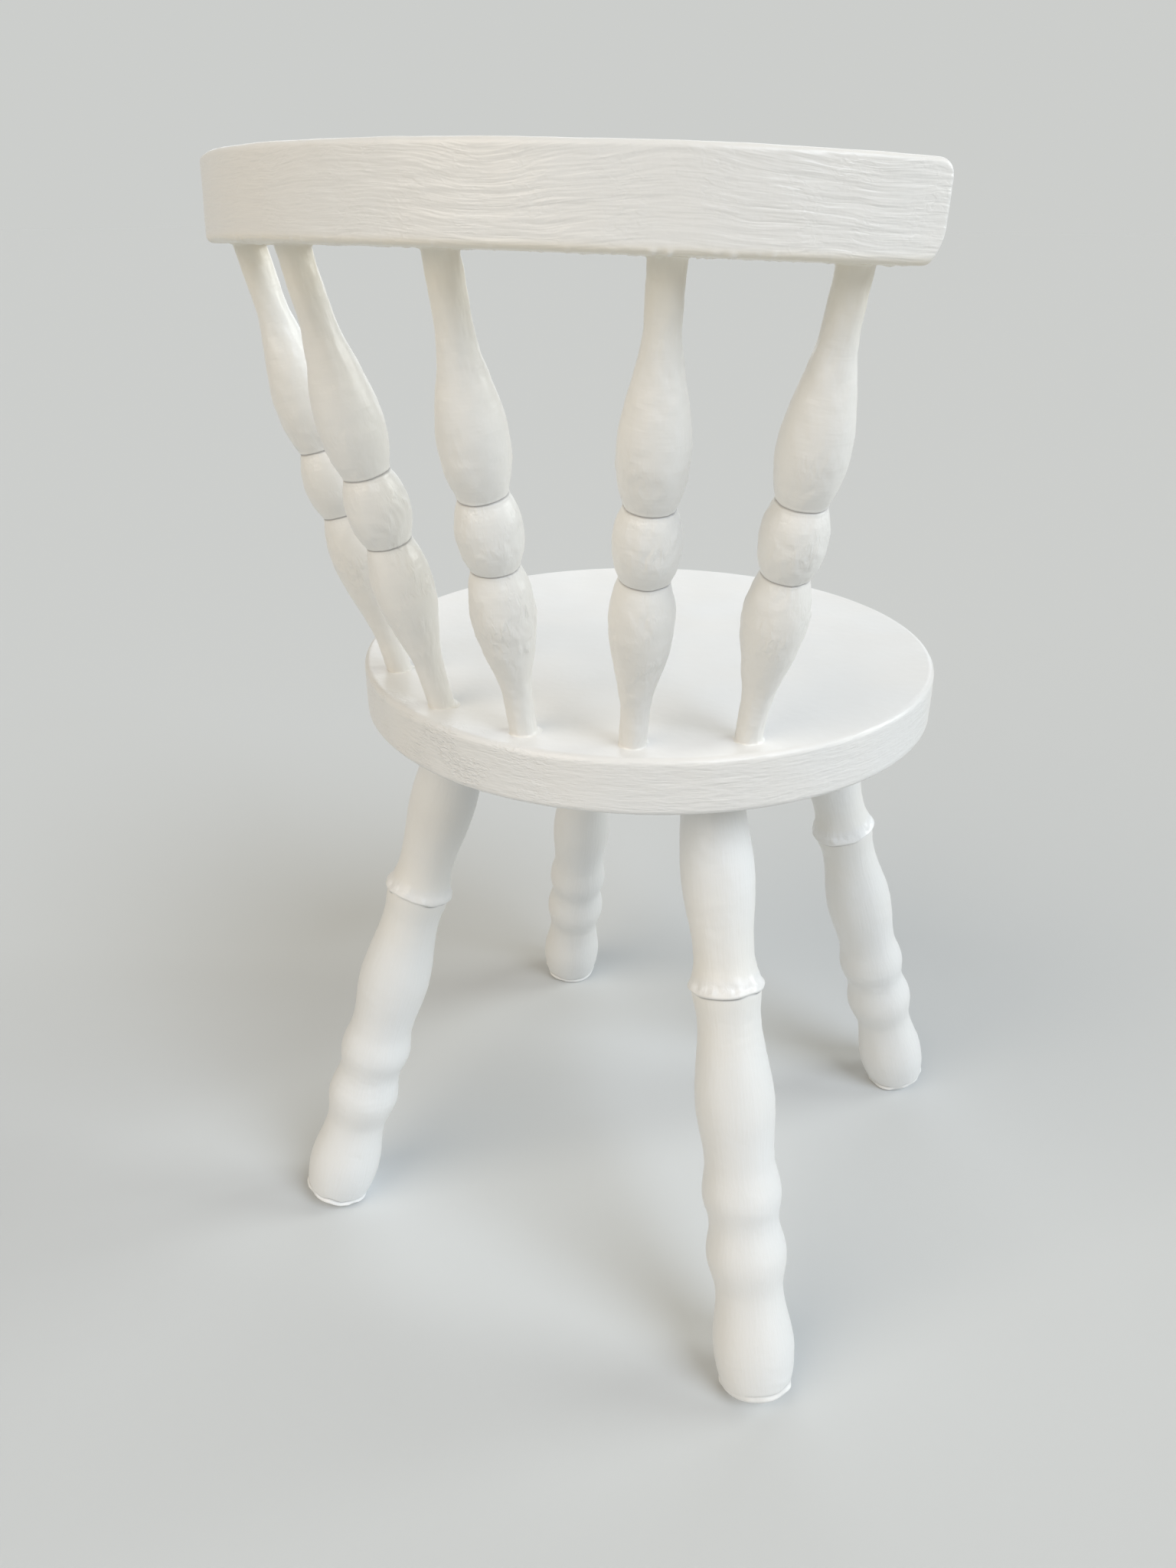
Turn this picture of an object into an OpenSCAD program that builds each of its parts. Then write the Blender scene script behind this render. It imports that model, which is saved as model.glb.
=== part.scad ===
// Small round-seat chair with a spindle back
// Turned and sawn wood, brush-painted off-white.
// Millimetres. The origin is on the floor, under the middle of the chair's whole length
// from the rail to the front feet. +Z is up and -Y is the way a sitter faces, so +X is
// the sitter's left.

/* [Seat] */
// Diameter of the round seat board
seat_d = 280; // [250:1:340]
// Thickness of the seat board
seat_t = 25.5; // [22:0.5:36]
// Height of the seat's top above the floor
seat_h = 322; // [290:1:400]
// Radius of the eased edge round the top and the bottom of the seat
seat_ease = 3; // [1:0.5:6]

/* [Leg placing] */
// Distance from the seat's edge in to a leg's centre line, at the underside
leg_inset = 47.5; // [40:0.5:60]
// How much further out a leg's centre line is at the floor than at the seat
leg_splay = 91; // [40:0.5:130]
// Bearing of every leg at the seat, off the front-to-back line, in degrees
leg_bearing = 44.5; // [35:0.5:55]
// Bearing of the two rear feet at the floor, in degrees
rear_foot_bearing = 46; // [35:0.5:55]
// Bearing of the two front feet at the floor, in degrees
front_foot_bearing = 43; // [35:0.5:55]
// How much the lowest edge of each foot is rubbed flat by the floor
foot_wear = 0.6; // [0.2:0.1:1.5]

/* [Leg turning: diameters] */
// Diameter of the foot's flat end
foot_end_d = 33; // [26:0.5:38]
// Diameter of the rounded foot
foot_d = 39.3; // [34:0.1:46]
// Diameter of the hollow between the foot and the lower bead
ankle_d = 32.6; // [26:0.1:36]
// Diameter of the lower bead
low_bead_d = 38.6; // [34:0.1:44]
// Diameter of the hollow between the beads
bead_hollow_d = 33.4; // [28:0.1:36]
// Diameter of the upper bead
high_bead_d = 37.7; // [34:0.1:44]
// Diameter of the hollow above the upper bead
shin_d = 33.2; // [28:0.1:36]
// Diameter of the long swell
calf_d = 37.4; // [34:0.1:44]
// Diameter of the narrow place below the collar
knee_d = 29.6; // [24:0.1:33]
// Diameter of the leg right under the collar, where its undercut starts
under_collar_d = 32.6; // [26:0.1:34]
// Diameter of the collar's crest
collar_d = 35.4; // [34:0.1:42]
// Diameter of the narrow place above the collar
throat_d = 27.9; // [24:0.1:32]
// Diameter of the upper swell
thigh_d = 33.5; // [29:0.1:40]
// Diameter of the leg where it meets the seat
hip_d = 26.6; // [24:0.1:32]

/* [Leg turning: heights] */
// Height of the foot's widest place, from the leg's lower end
foot_at = 20.5; // [14:0.5:24]
// Height of the ankle hollow, from the leg's lower end
ankle_at = 50.5; // [40:0.5:54]
// Height of the lower bead, from the leg's lower end
low_bead_at = 69.8; // [62:0.1:76]
// Height of the hollow between the beads, from the leg's lower end
bead_hollow_at = 86.6; // [80:0.1:92]
// Height of the upper bead, from the leg's lower end
high_bead_at = 100.8; // [96:0.1:108]
// Height of the hollow above the upper bead, from the leg's lower end
shin_at = 117.6; // [112:0.1:124]
// Height of the long swell's widest place, from the leg's lower end
calf_at = 146.7; // [132:0.1:152]
// Depth of the narrow place under the collar, down the leg from the seat
knee_down = 118.2; // [112:0.1:126]
// Depth of the collar's crest, down the leg from the seat
collar_down = 102.2; // [96:0.1:108]
// Height of the collar's lower lip, from its undercut line to its crest
collar_lip = 1.4; // [1:0.1:5]
// Depth of the narrow place above the collar, down the leg from the seat
throat_down = 87.2; // [80:0.1:92]
// Depth of the upper swell's widest place, down the leg from the seat
thigh_down = 50; // [40:0.5:60]

/* [Leg joint] */
// Diameter of the tenon at the top of a leg
leg_tenon_d = 20; // [14:0.5:24]
// Length of a leg's tenon, into the seat
leg_tenon_l = 16; // [10:0.5:17]

/* [Back placing] */
// Height of the rail's underside above the seat, at the middle of the back
back_h = 185.3; // [165:0.1:240]
// Distance from the seat's edge in to a spindle's centre line, at the seat's top
spindle_inset = 15.5; // [12:0.5:24]
// Distance from the rail's outer face in to a spindle's centre line, at the rail's underside
rail_inset = 16.3; // [12:0.1:17]
// Bearings of the five holes in the seat, left to right, in degrees
seat_bearings = [43.5, 19.7, -2.3, -24, -46.1]; // [-60:0.1:60]
// Bearings of the five holes in the rail, left to right, in degrees
rail_bearings = [45.5, 22.3, -2.6, -27.3, -47.3]; // [-60:0.1:60]

/* [Spindle turning: diameters] */
// Diameter of the spindle where it meets the seat
spindle_root_d = 11.2; // [10.6:0.1:14]
// Diameter of the lower neck
low_neck_d = 11.8; // [10.6:0.1:15]
// Diameter of the lower bulb
low_bulb_d = 25.4; // [20:0.1:32]
// Diameter at the bottom of both V-grooves
groove_d = 18.4; // [14:0.1:19]
// Diameter of the ball
ball_d = 25.7; // [20:0.1:32]
// Diameter of the upper bulb
high_bulb_d = 25.9; // [20:0.1:32]
// Diameter of the upper neck
high_neck_d = 12.6; // [11:0.1:16]

/* [Spindle turning: heights] */
// Height up the spindle from the seat at which the lower neck starts to swell
low_neck_at = 14; // [8:0.5:24]
// Height of the lower bulb's widest place
low_bulb_at = 59.5; // [50:0.5:66]
// Height of the ball's widest place
ball_at = 92; // [88:0.5:96]
// Distance from one V-groove to the other
ball_l = 29; // [22:0.5:34]
// Height of the upper bulb's widest place
high_bulb_at = 126; // [116:0.5:134]
// Height at which the upper neck starts
high_neck_at = 170; // [155:0.5:172]

/* [Spindle joint] */
// Diameter of the tenon at each end of a spindle
spindle_tenon_d = 10; // [8:0.1:10.4]
// Length of a spindle's tenon, into the seat and into the rail
spindle_tenon_l = 13; // [8:0.5:16]

/* [Rail] */
// Radius of the rail's outer face
rail_r = 188.3; // [160:0.1:230]
// Thickness of the rail, from its inner face to its outer face
rail_t = 26; // [24:0.5:32]
// Height of the rail
rail_h = 30; // [26:0.5:42]
// Distance that the rail's centre of curve lies in front of the seat's centre
rail_forward = 1.2; // [0:0.1:10]
// Distance round the outer face from an end spindle to the upper end of the rail
rail_overrun = 22; // [14:0.5:30]
// Slope of the rail, rear edge up, in degrees
rail_pitch = 3.2; // [0:0.1:8]
// Slope of the rail, left end up, in degrees
rail_roll = 0.6; // [0:0.1:3]
// Radius of the eased edges along the rail
rail_ease = 2.2; // [1:0.1:5]
// Radius of the rounded upper corner at each end of the rail
rail_top_corner = 6; // [2:0.5:12]
// Radius that the lower part of each end is rounded in to
rail_low_round = 25; // [22:1:60]
// Height at which that rounding starts
rail_low_h = 15; // [8:0.5:18]

/* [Fits] */
// Glue gap round every tenon
tenon_gap = 0.1; // [0.05:0.05:0.3]
// Empty depth left past the end of every tenon
socket_spare = 0.6; // [0.2:0.1:2]

/* [Hidden] */

paint = "#E9E6DF";
$fn = 96;
// Straight steps in each curved stretch of a turned outline
steps = 8;
// Length by which a cutting shape runs past what it cuts
past = 1;
// Length by which a tenon runs back into the solid of its own piece
root = 12;
// Part turn of a turned piece about its own line, which keeps the seam of its surface clear
// of the highest and lowest points of the level cuts at its ends
part_turn = 40;
seat_under = seat_h - seat_t;
// Distances from the seat's centre to the centre lines of the legs and spindles, and from
// the rail's centre of curve to those of the spindles at the rail's underside
leg_seat_r = seat_d / 2 - leg_inset;
leg_foot_r = leg_seat_r + leg_splay;
spindle_seat_r = seat_d / 2 - spindle_inset;
spindle_rail_r = rail_r - rail_inset;
// Bearing of the end of the rail past the last spindle hole on each side
overrun_bearing = rail_overrun / rail_r * 180 / PI;
rail_left = rail_bearings[0] + overrun_bearing;
rail_right = rail_bearings[len(rail_bearings) - 1] - overrun_bearing;
// How far the chair's middle, from the rail to the front feet, lies behind the seat's centre
middle_y = (rail_r - rail_forward - leg_foot_r * cos(front_foot_bearing) - foot_end_d / 2) / 2;
// The point about which the rail is sloped, on its underside at the middle of the back
rail_pivot = [0, spindle_rail_r - rail_forward, seat_h + back_h];

// A point at a distance and a bearing from the +Y direction, turning towards +X
function polar(r, bearing, z) = [r * sin(bearing), r * cos(bearing), z];

// A vector sloped as the rail is
function slope(v) =
    let (y = v.y * cos(rail_pitch) - v.z * sin(rail_pitch))
    let (z = v.y * sin(rail_pitch) + v.z * cos(rail_pitch))
    [v.x * cos(rail_roll) - z * sin(rail_roll), y, v.x * sin(rail_roll) + z * cos(rail_roll)];

// A point on the rail's underside, at a distance and a bearing from its centre of curve
function under_rail(r, bearing) =
    rail_pivot + slope(polar(r, bearing, 0) - [0, spindle_rail_r, 0]);

// Stretches of a turned outline, each from one height and radius to the next.
// An s_curve is level at both ends, a crown is an arc that is level at its widest end,
// and a cove is an arc that is level at its narrowest end.
function s_curve(h0, r0, h1, r1) = [
    for (i = [0 : steps - 1])
        let (t = i / steps)
        [r0 + (r1 - r0) * (1 - cos(180 * t)) / 2, h0 + (h1 - h0) * t]
];
function arc_radius(run, rise) = (run * run + rise * rise) / (2 * abs(rise));
function arc_drop(run, rise, t) =
    let (big = arc_radius(run, rise))
    big - sqrt(big * big - pow(run * t, 2));
function crown_up(h0, r0, h1, r1) = [
    for (i = [0 : steps - 1])
        let (t = i / steps)
        [r1 - arc_drop(h1 - h0, r1 - r0, 1 - t), h0 + (h1 - h0) * t]
];
function crown_down(h0, r0, h1, r1) = [
    for (i = [0 : steps - 1])
        let (t = i / steps)
        [r0 - arc_drop(h1 - h0, r0 - r1, t), h0 + (h1 - h0) * t]
];
function cove_down(h0, r0, h1, r1) = [
    for (i = [0 : steps - 1])
        let (t = i / steps)
        [r1 + arc_drop(h1 - h0, r0 - r1, 1 - t), h0 + (h1 - h0) * t]
];

// Everything is worked out from the seat's centre, and a finished piece is moved by this
// so that the chair's middle comes over the origin
module placed() {
    translate([0, -middle_y, 0])
        children();
}

// Moves a piece made along +Z from the origin so that it runs from one point to another
module along(from, to) {
    run = to - from;
    translate(from)
        rotate([0, acos(run.z / norm(run)), atan2(run.y, run.x)])
            rotate([0, 0, part_turn])
                children();
}

// Everything on the far side of a level plane, as a cutting shape
module block(z, up) {
    size = 4 * seat_d;
    translate([-size / 2, -size / 2, up ? z : z - size])
        cube(size);
}

// Slopes level shapes as the rail is sloped
module sloped() {
    translate(rail_pivot)
        rotate([rail_pitch, -rail_roll, 0])
            children();
}

// A ring or disc section with its four edges eased, from radius r0 to r1 and h high
module eased_section(r0, r1, h, ease) {
    translate([r0 + ease, 0])
        square([r1 - r0 - 2 * ease, h]);
    translate([r0, ease])
        square([r1 - r0, h - 2 * ease]);
    for (r = [r0 + ease, r1 - ease], z = [ease, h - ease])
        translate([r, z])
            circle(ease);
}

// ---- Legs ----

// The side of the chair is 1 at the sitter's left and -1 at the right;
// the end is 1 at the rear and -1 at the front.
function leg_top(side, end) =
    let (p = polar(leg_seat_r, leg_bearing, seat_under))
    [side * p.x, end * p.y, p.z];
function leg_floor(side, end) =
    let (p = polar(leg_foot_r, end > 0 ? rear_foot_bearing : front_foot_bearing, 0))
    [side * p.x, end * p.y, p.z];

// Distance from the point where a leg's centre line meets the floor up to the leg's end,
// which is square to the centre line and stands on its inner edge
function leg_lift(side, end) =
    let (run = leg_top(side, end) - leg_floor(side, end))
    let (lean = acos(run.z / norm(run)))
    (foot_end_d / 2 * sin(lean) - foot_wear) / cos(lean);

// The turned outline of a leg that is l long from its end to the seat
module leg_outline(l) {
    collar = l - collar_down;
    undercut = collar - collar_lip;
    lip_d = (under_collar_d + collar_d) / 2;
    polygon(concat(
        [[0, 0]],
        crown_up(0, foot_end_d / 2, foot_at, foot_d / 2),
        s_curve(foot_at, foot_d / 2, ankle_at, ankle_d / 2),
        s_curve(ankle_at, ankle_d / 2, low_bead_at, low_bead_d / 2),
        s_curve(low_bead_at, low_bead_d / 2, bead_hollow_at, bead_hollow_d / 2),
        s_curve(bead_hollow_at, bead_hollow_d / 2, high_bead_at, high_bead_d / 2),
        s_curve(high_bead_at, high_bead_d / 2, shin_at, shin_d / 2),
        s_curve(shin_at, shin_d / 2, calf_at, calf_d / 2),
        s_curve(calf_at, calf_d / 2, l - knee_down, knee_d / 2),
        s_curve(l - knee_down, knee_d / 2, undercut, under_collar_d / 2),
        crown_up(undercut, lip_d / 2, collar, collar_d / 2),
        cove_down(collar, collar_d / 2, l - throat_down, throat_d / 2),
        s_curve(l - throat_down, throat_d / 2, l - thigh_down, thigh_d / 2),
        s_curve(l - thigh_down, thigh_d / 2, l, hip_d / 2),
        [[hip_d / 2, l], [hip_d / 2, l + root], [0, l + root]]
    ));
}

module leg_tenon(side, end, gap, spare) {
    along(leg_top(side, end), 2 * leg_top(side, end) - leg_floor(side, end))
        translate([0, 0, -root])
            cylinder(h = root + leg_tenon_l + spare, d = leg_tenon_d + 2 * gap);
}

module leg(side, end) {
    run = norm(leg_top(side, end) - leg_floor(side, end));
    lift = leg_lift(side, end);
    color(paint) placed()
        union() {
            difference() {
                along(leg_floor(side, end), leg_top(side, end))
                    translate([0, 0, lift])
                        rotate_extrude()
                            leg_outline(run - lift);
                block(seat_under, true);
                block(0, false);
            }
            leg_tenon(side, end, 0, 0);
        }
}

module leg_rear_left() { leg(1, 1); }
module leg_rear_right() { leg(-1, 1); }
module leg_front_left() { leg(1, -1); }
module leg_front_right() { leg(-1, -1); }

// ---- Seat ----

module seat() {
    color(paint) placed()
        difference() {
            translate([0, 0, seat_under])
                rotate_extrude() {
                    eased_section(seat_d / 4, seat_d / 2, seat_t, seat_ease);
                    square([seat_d / 4 + seat_ease, seat_t]);
                }
            for (side = [1, -1], end = [1, -1])
                leg_tenon(side, end, tenon_gap, socket_spare);
            for (i = [0 : len(seat_bearings) - 1])
                spindle_tenon(i, 0, tenon_gap, socket_spare);
        }
}

// ---- Spindles ----

function spindle_foot(i) = polar(spindle_seat_r, seat_bearings[i], seat_h);
function spindle_head(i) = under_rail(spindle_rail_r, rail_bearings[i]);

// The turned outline of a spindle that is l long from the seat to the rail
module spindle_outline(l) {
    low_groove = ball_at - ball_l / 2;
    high_groove = ball_at + ball_l / 2;
    polygon(concat(
        [[0, -root], [spindle_root_d / 2, -root], [spindle_root_d / 2, 0]],
        s_curve(low_neck_at, low_neck_d / 2, low_bulb_at, low_bulb_d / 2),
        crown_down(low_bulb_at, low_bulb_d / 2, low_groove, groove_d / 2),
        crown_up(low_groove, groove_d / 2, ball_at, ball_d / 2),
        crown_down(ball_at, ball_d / 2, high_groove, groove_d / 2),
        crown_up(high_groove, groove_d / 2, high_bulb_at, high_bulb_d / 2),
        s_curve(high_bulb_at, high_bulb_d / 2, high_neck_at, high_neck_d / 2),
        [[high_neck_d / 2, high_neck_at], [high_neck_d / 2, l + root], [0, l + root]]
    ));
}

// The tenon at a spindle's foot, end 0, or at its head, end 1
module spindle_tenon(i, end, gap, spare) {
    foot = spindle_foot(i);
    head = spindle_head(i);
    along(end == 0 ? foot : head, end == 0 ? 2 * foot - head : 2 * head - foot)
        translate([0, 0, -root])
            cylinder(h = root + spindle_tenon_l + spare, d = spindle_tenon_d + 2 * gap);
}

module spindle(i) {
    color(paint) placed()
        union() {
            difference() {
                along(spindle_foot(i), spindle_head(i))
                    rotate_extrude()
                        spindle_outline(norm(spindle_head(i) - spindle_foot(i)));
                block(seat_h, false);
                sloped()
                    block(0, true);
            }
            for (end = [0, 1])
                spindle_tenon(i, end, 0, 0);
        }
}

module spindle_1() { spindle(0); }
module spindle_2() { spindle(1); }
module spindle_3() { spindle(2); }
module spindle_4() { spindle(3); }
module spindle_5() { spindle(4); }

// ---- Rail ----

// What is cut away round a circle that touches the rail's end plane, which looks
// along +X and has the origin at its upper edge. The circle has radius r and its
// middle at height h. The waste runs down from there to low, or up to it.
module round_waste(r, h, low) {
    rotate([90, 0, 0])
        linear_extrude(height = rail_t + 4 * past, center = true)
            difference() {
                translate([-r, min(h, low)])
                    square([r + past, abs(h - low)]);
                translate([-r, h])
                    circle(r = r);
            }
}

// The waste at one end of the rail: at its upper corner and round its lower part.
// side is 1 at the left end and -1 at the right.
module end_waste(side) {
    rotate([0, 0, side > 0 ? -rail_left : -rail_right])
        translate([0, rail_r - rail_t / 2, rail_h])
            mirror([side > 0 ? 0 : 1, 0, 0]) {
                round_waste(rail_top_corner, -rail_top_corner, past);
                round_waste(rail_low_round, rail_low_h - rail_h, -rail_h - past);
            }
}

module crest_rail() {
    color(paint) placed()
        difference() {
            sloped()
                translate([0, -spindle_rail_r, 0])
                    difference() {
                        rotate([0, 0, 90 - rail_left])
                            rotate_extrude(angle = rail_left - rail_right)
                                eased_section(rail_r - rail_t, rail_r, rail_h, rail_ease);
                        for (side = [1, -1])
                            end_waste(side);
                    }
            for (i = [0 : len(rail_bearings) - 1])
                spindle_tenon(i, 1, tenon_gap, socket_spare);
        }
}

seat();
crest_rail();
spindle_1();
spindle_2();
spindle_3();
spindle_4();
spindle_5();
leg_rear_left();
leg_rear_right();
leg_front_left();
leg_front_right();
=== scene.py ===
import math
from itertools import product

import bmesh
import bpy
import numpy as np
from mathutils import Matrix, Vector


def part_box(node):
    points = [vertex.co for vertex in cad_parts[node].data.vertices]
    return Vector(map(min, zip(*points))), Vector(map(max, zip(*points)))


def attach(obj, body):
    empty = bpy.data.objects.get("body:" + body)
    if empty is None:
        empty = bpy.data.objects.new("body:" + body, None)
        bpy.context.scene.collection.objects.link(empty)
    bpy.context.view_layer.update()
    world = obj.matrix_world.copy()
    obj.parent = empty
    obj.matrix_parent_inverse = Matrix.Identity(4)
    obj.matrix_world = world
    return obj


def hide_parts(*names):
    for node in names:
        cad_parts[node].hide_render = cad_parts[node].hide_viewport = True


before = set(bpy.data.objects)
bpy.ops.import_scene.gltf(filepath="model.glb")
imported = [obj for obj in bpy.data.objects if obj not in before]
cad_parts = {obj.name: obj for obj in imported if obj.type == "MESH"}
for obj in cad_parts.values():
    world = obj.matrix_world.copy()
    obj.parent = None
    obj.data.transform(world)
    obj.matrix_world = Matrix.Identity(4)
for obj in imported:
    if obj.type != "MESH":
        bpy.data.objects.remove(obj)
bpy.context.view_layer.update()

millimetre = 0.001

# ---- The seat ----
# A round board, sawn from one-inch stock, its edges eased with sandpaper. It carries the whole
# chair: four legs are glued into blind holes underneath and five spindles into the top.
# The paint was brushed round the edge and worked smooth and level on the top.

seat_low, seat_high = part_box("seat")
seat_middle = (seat_low + seat_high) / 2
seat_radius = (seat_high.x - seat_low.x) / 2
seat_ease = 3 * millimetre
seat_steps = 768
# How far hand sanding left the rim out of true, how high the brushed ridges, lumps and wrinkles
# stand on it, and how far the broad faces swell.
rim_wander, rim_ridge, rim_lump = 0.22 * millimetre, 0.07 * millimetre, 0.06 * millimetre
rim_wrinkle, face_swell = 0.13 * millimetre, 0.05 * millimetre
# Where on the rim the paint was half dry, in degrees from +X, and how far that reaches.
half_dry_at, half_dry_reach = 74, 26
# Two faces that meet at more than this angle meet in a crisp edge.
crisp_angle = math.radians(40)


def lattice(cells, seed):
    """A number from -1 to 1 for each whole-numbered cell, always the same for the same cell."""
    x, y, z = (cells[..., k].astype(np.uint64) for k in range(3))
    mixed = x * np.uint64(73856093) ^ y * np.uint64(19349663) ^ z * np.uint64(83492791)
    mixed = (mixed + np.uint64(seed * 2654435761)) * np.uint64(0x9E3779B97F4A7C15)
    mixed = (mixed ^ (mixed >> np.uint64(29))) * np.uint64(0xBF58476D1CE4E5B9)
    return (mixed >> np.uint64(40)).astype(float) / 2**23 - 1


def unevenness(points, size, seed):
    """Smooth hand-made unevenness from -1 to 1 at each point, in lumps about size across."""
    turned = np.array([[0.36, 0.48, -0.8], [-0.8, 0.6, 0.0], [0.48, 0.64, 0.6]])
    places = points @ turned / size + 1000
    cells = np.floor(places).astype(np.int64)
    part = places - cells
    part = part**3 * (part * (part * 6 - 15) + 10)
    total = np.zeros(points.shape[:-1])
    for corner in product((0, 1), repeat=3):
        share = np.where(corner, part, 1 - part).prod(axis=-1)
        total += share * lattice(cells + corner, seed)
    return total


def ripples(points, size, stretch, seed):
    """Soft curved ridges from -1 to 1, drawn out along each direction as stretch says."""
    sway = np.stack([unevenness(points, 4 * size, seed + k) for k in (1, 2, 3)], axis=-1)
    return unevenness((points + 1.5 * size * sway) / stretch, size, seed)


def skin(name, rings, marks):
    """A closed mesh through rings of points, each joined to the next, with both ends closed.
    marks gives a number or a vector for each point of each ring, by name, for the finish."""
    count, around = rings.shape[:2]
    first = np.arange(count - 1)[:, None] * around
    a = first + np.arange(around)
    b = first + (np.arange(around) + 1) % around
    quads = np.stack([a, b, b + around, a + around], axis=-1).reshape(-1, 4)
    low_end, high_end = count * around, count * around + 1
    top = (count - 1) * around
    fans = []
    for k in range(around):
        after = (k + 1) % around
        fans += [(after, k, low_end), (top + k, top + after, high_end)]
    corners = np.concatenate([rings.reshape(-1, 3), rings[[0, -1]].mean(axis=1)])
    mesh = bpy.data.meshes.new(name)
    mesh.from_pydata(corners.tolist(), [], quads.tolist() + fans)
    for mark, values in marks.items():
        values = np.broadcast_to(values, rings.shape[:2] + values.shape[2:])
        wide = values.ndim == 3
        ends = values[[0, -1]].mean(axis=1)
        listed = np.concatenate([values.reshape(-1, *values.shape[2:]), ends])
        layer = mesh.attributes.new(mark, "FLOAT_VECTOR" if wide else "FLOAT", "POINT")
        layer.data.foreach_set("vector" if wide else "value", listed.astype(np.float32).ravel())
    shell = bmesh.new()
    shell.from_mesh(mesh)
    bmesh.ops.recalc_face_normals(shell, faces=shell.faces)
    shell.to_mesh(mesh)
    shell.free()
    mesh.shade_smooth()
    mesh.set_sharp_from_angle(angle=crisp_angle)
    piece = bpy.data.objects.new(name, mesh)
    bpy.context.scene.collection.objects.link(piece)
    return piece


class Wire:
    """A socket in a material's node tree. Sums on wires and numbers add Math nodes to the tree."""

    def __init__(self, tree, socket=None):
        self.tree = tree
        self.socket = socket

    def node(self, kind, settings, links, output=0):
        """Adds a node, makes its settings, then gives its sockets their values or wires."""
        made = self.tree.nodes.new("ShaderNode" + kind)
        for setting, value in settings.items():
            setattr(made, setting, value)
        for place, value in links.items():
            if isinstance(value, Wire):
                self.tree.links.new(value.socket, made.inputs[place])
            else:
                made.inputs[place].default_value = value
        return Wire(self.tree, made.outputs[output])

    def math(self, operation, first, second):
        """One sum, on wires or numbers."""
        return self.node("Math", {"operation": operation}, {0: first, 1: second})

    def __add__(self, other):
        return self.math("ADD", self, other)

    def __sub__(self, other):
        return self.math("SUBTRACT", self, other)

    def __rsub__(self, other):
        return self.math("SUBTRACT", other, self)

    def __mul__(self, other):
        return self.math("MULTIPLY", self, other)

    __radd__ = __add__
    __rmul__ = __mul__

    def mark(self, name, output=2):
        """A mark that skin() left on the mesh: its number, or its vector as output 1."""
        return self.node("Attribute", {"attribute_name": name}, {}, output)

    def grain(self, place, per_metre, detail=2.0, sway=0.0):
        """Noise from 0 to 1 with so many lumps to the metre along each direction of place."""
        scaled = self.node("VectorMath", {"operation": "MULTIPLY"}, {0: place, 1: per_metre})
        links = {"Vector": scaled, "Scale": 1.0, "Detail": detail, "Distortion": sway}
        return self.node("TexNoise", {}, links)

    def stepped(self, low, high):
        """This wire's value as 0 below low, 1 above high, and smooth between."""
        settings = {"interpolation_type": "SMOOTHSTEP"}
        return self.node("MapRange", settings, {"Value": self, "From Min": low, "From Max": high})

    def mixed(self, share, one, other):
        """One colour going over to another as share goes from 0 to 1."""
        links = {"Factor": share, 6: one, 7: other}
        return self.node("Mix", {"data_type": "RGBA"}, links, 2)


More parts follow.
